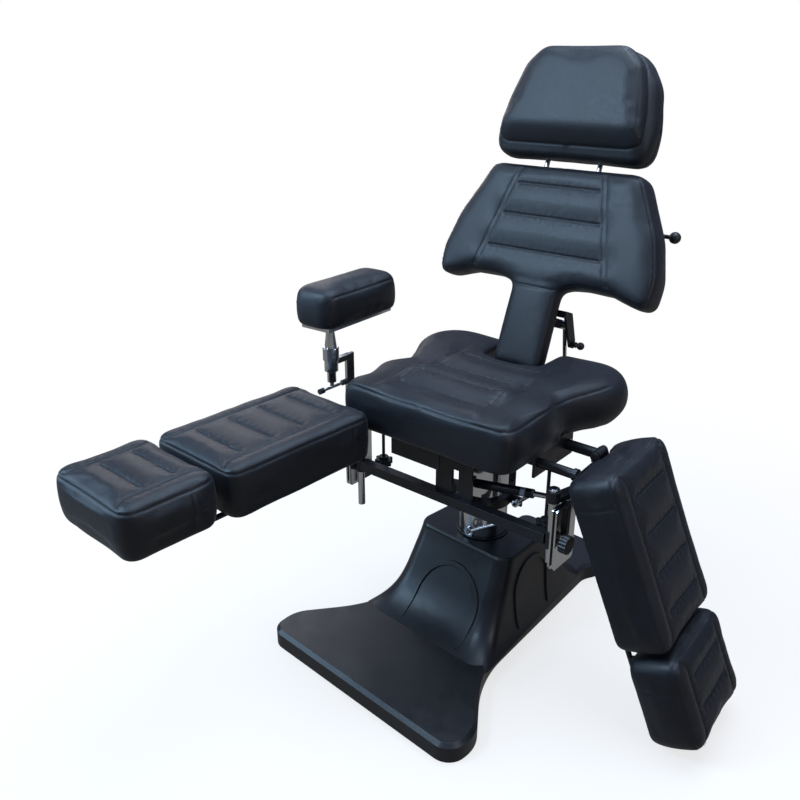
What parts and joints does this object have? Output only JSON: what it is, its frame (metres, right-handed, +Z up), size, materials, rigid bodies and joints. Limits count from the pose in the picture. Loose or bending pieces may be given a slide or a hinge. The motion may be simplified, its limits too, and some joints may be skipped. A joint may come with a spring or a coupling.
{
  "type": "tattoo chair",
  "caption": "Reclining client chair with a T-shaped back, sliding headrest, armrest and two separately swung leg rests on a moulded pedestal base.",
  "frame": {"origin": "column axis on the floor, on the base plate's underside", "axes": "+Z up, -Y towards the front (the seated person's knees), +X to the seated person's left"},
  "size_m": [1.0706, 1.4248, 1.4024],
  "materials": {
    "black_leather": "semi-gloss grained",
    "black_plastic": "satin",
    "black_steel": "satin powder coat",
    "chrome": "polished",
    "board": "dark stained"
  },
  "bodies": {
    "base": {"base_cover": "black_plastic", "base_plate": "black_steel", "column_ring": "chrome", "pump_cylinder": "black_steel"},
    "pedal": {"pump_pedal": "black_plastic"},
    "lift": {"column_sleeve": "chrome", "pump_ram": "chrome"},
    "seat": {"swivel_plate": "black_steel", "seat_pan": "board", "seat_cushion": "black_leather", "seat_frame": "black_steel", "crossbar": "black_steel", "centre_bracket": "black_steel", "apron": "black_steel", "cross_tube": "black_steel", "receivers": "black_steel", "back_lugs": "black_steel", "gas_cylinder": "black_steel", "gas_rod": "chrome", "brake_collar": "black_steel", "end_plates": "chrome", "end_filler": "black_plastic", "clamp_bars": "black_steel", "leg_posts": "chrome"},
    "star_knob_l": {"star_knob_left": "black_plastic"},
    "star_knob_r": {"star_knob_right": "black_plastic"},
    "side_knob_l": {"side_knob_left": "black_plastic"},
    "side_knob_r": {"side_knob_right": "black_plastic"},
    "brake": {"brake_lever": "chrome"},
    "lock": {"lock_lever": "chrome"},
    "back": {"back_cushion": "black_leather", "back_frame": "black_steel", "head_guides": "black_steel"},
    "headrest": {"head_cushion": "black_leather", "head_rods": "chrome"},
    "headrest_lock": {"head_lock": "black_plastic"},
    "release": {"release_handle": "black_plastic"},
    "strut_tube": {"strut_cylinder": "black_steel"},
    "strut_piston": {"strut_rod": "chrome"},
    "armrest_slide": {"armrest_bar": "chrome", "armrest_socket": "chrome"},
    "armrest_top": {"armrest_neck": "chrome", "armrest_cushion": "black_leather"},
    "armrest_clamp": {"armrest_tee": "chrome", "armrest_tee_tips": "black_plastic"},
    "left_arm": {"leg_arm_left": "black_steel"},
    "left_riser": {"leg_riser_left": "chrome"},
    "left_yoke": {"leg_yoke_left": "black_steel"},
    "left_calf": {"calf_plate_left": "black_steel", "calf_cushion_left": "black_leather"},
    "left_foot": {"foot_frame_left": "black_steel", "foot_cushion_left": "black_leather"},
    "right_arm": {"leg_arm_right": "black_steel"},
    "right_riser": {"leg_riser_right": "chrome"},
    "right_yoke": {"leg_yoke_right": "black_steel"},
    "right_calf": {"calf_plate_right": "black_steel", "calf_cushion_right": "black_leather"},
    "right_foot": {"foot_frame_right": "black_steel", "foot_cushion_right": "black_leather"}
  },
  "joints": [
    {"name": "lift_raise", "type": "slide", "parent": "base", "child": "lift", "axis": [0, 0, 1], "range_m": [0, 0.14]},
    {"name": "seat_swivel", "type": "hinge", "parent": "lift", "child": "seat", "pos_m": [0, 0, 0.472], "axis": [0, 0, 1], "continuous": true},
    {"name": "pedal_press", "type": "hinge", "parent": "base", "child": "pedal", "pos_m": [0.08575, 0.40742, 0.03], "axis": [-0.998, 0.0628, 0], "range_deg": [0, 8], "stiffness_Nm_per_rad": 4, "springref_deg": -17.19},
    {"name": "brake_lever_turn", "type": "hinge", "parent": "seat", "child": "brake", "pos_m": [0.12, -0.084, 0.354], "axis": [0, 1, 0], "range_deg": [0, 20]},
    {"name": "lock_lever_turn", "type": "hinge", "parent": "seat", "child": "lock", "pos_m": [0.092, 0.006, 0.354], "axis": [0, 1, 0], "range_deg": [-4, 12]},
    {"name": "star_knob_left_turn", "type": "hinge", "parent": "seat", "child": "star_knob_l", "pos_m": [-0.241, -0.11, 0.41], "axis": [0, 0, 1], "continuous": true},
    {"name": "star_knob_right_turn", "type": "hinge", "parent": "seat", "child": "star_knob_r", "pos_m": [0.241, -0.11, 0.41], "axis": [0, 0, 1], "continuous": true},
    {"name": "side_knob_left_turn", "type": "hinge", "parent": "seat", "child": "side_knob_l", "pos_m": [-0.32, -0.165, 0.414], "axis": [1, 0, 0], "continuous": true},
    {"name": "side_knob_right_turn", "type": "hinge", "parent": "seat", "child": "side_knob_r", "pos_m": [0.32, -0.165, 0.414], "axis": [1, 0, 0], "continuous": true},
    {"name": "back_recline", "type": "hinge", "parent": "seat", "child": "back", "pos_m": [0, 0.14, 0.6], "axis": [-1, 0, 0], "range_deg": [-4, 40]},
    {"name": "headrest_height", "type": "slide", "parent": "back", "child": "headrest", "axis": [0, 0.36, 0.933], "range_m": [0, 0.1]},
    {"name": "headrest_lock_turn", "type": "hinge", "parent": "back", "child": "headrest_lock", "pos_m": [0.2, 0.35327, 0.9783], "axis": [1, 0, 0], "continuous": true},
    {"name": "release_turn", "type": "hinge", "parent": "back", "child": "release", "pos_m": [0.086, 0.252, 0.7], "axis": [1, 0, 0], "range_deg": [-10, 10], "stiffness_Nm_per_rad": 0.6},
    {"name": "strut_turn", "type": "hinge", "parent": "seat", "child": "strut_tube", "pos_m": [0.062, 0.275, 0.47], "axis": [-1, 0, 0], "range_deg": [-2.5, 22]},
    {"name": "strut_stroke", "type": "slide", "parent": "strut_tube", "child": "strut_piston", "axis": [0, -0.134, 0.991], "range_m": [-0.112, 0.011]},
    {"name": "armrest_reach", "type": "slide", "parent": "seat", "child": "armrest_slide", "axis": [-1, 0, 0], "range_m": [0, 0.05]},
    {"name": "armrest_turn", "type": "hinge", "parent": "armrest_slide", "child": "armrest_top", "pos_m": [-0.331, -0.198, 0.7], "axis": [0, 0, 1], "range_deg": [-90, 60]},
    {"name": "armrest_clamp_turn", "type": "hinge", "parent": "armrest_slide", "child": "armrest_clamp", "pos_m": [-0.331, -0.198, 0.617], "axis": [0, 0, 1], "continuous": true},
    {"name": "left_leg_swing", "type": "hinge", "parent": "seat", "child": "left_arm", "pos_m": [-0.28, -0.154, 0.511], "axis": [0, 0, -1], "range_deg": [0, 100]},
    {"name": "left_leg_height", "type": "slide", "parent": "left_arm", "child": "left_riser", "axis": [0, 0, 1], "range_m": [0, 0.06]},
    {"name": "left_leg_turn", "type": "hinge", "parent": "left_riser", "child": "left_yoke", "pos_m": [-0.2817, -0.28569, 0.53], "axis": [0, 0, -1], "range_deg": [0, 30]},
    {"name": "left_leg_drop", "type": "hinge", "parent": "left_yoke", "child": "left_calf", "pos_m": [-0.2817, -0.28569, 0.53], "axis": [0.9995, -0.0332, 0], "range_deg": [0, 55]},
    {"name": "left_foot_reach", "type": "slide", "parent": "left_calf", "child": "left_foot", "axis": [-0.0332, -0.9995, 0], "range_m": [-0.006, 0.1]},
    {"name": "right_leg_swing", "type": "hinge", "parent": "seat", "child": "right_arm", "pos_m": [0.28, -0.154, 0.511], "axis": [0, 0, 1], "range_deg": [-55, 0]},
    {"name": "right_leg_height", "type": "slide", "parent": "right_arm", "child": "right_riser", "axis": [0, 0, 1], "range_m": [-0.01, 0.015]},
    {"name": "right_leg_turn", "type": "hinge", "parent": "right_riser", "child": "right_yoke", "pos_m": [0.3126, -0.0264, 0.5747], "axis": [0, 0, 1], "range_deg": [0, 20]},
    {"name": "right_leg_drop", "type": "hinge", "parent": "right_yoke", "child": "right_calf", "pos_m": [0.3126, -0.0264, 0.5747], "axis": [-0.0489, 0.9988, 0], "range_deg": [-66.7, 0]},
    {"name": "right_foot_reach", "type": "slide", "parent": "right_calf", "child": "right_foot", "axis": [0.3951, 0.0193, -0.9184], "range_m": [-0.003, 0.015]}
  ],
  "couplings": [
    {"joint": "strut_turn", "follows": "back_recline", "ratio": 0.471},
    {"joint": "strut_stroke", "follows": "back_recline", "m_per_rad": -0.1408}
  ]
}
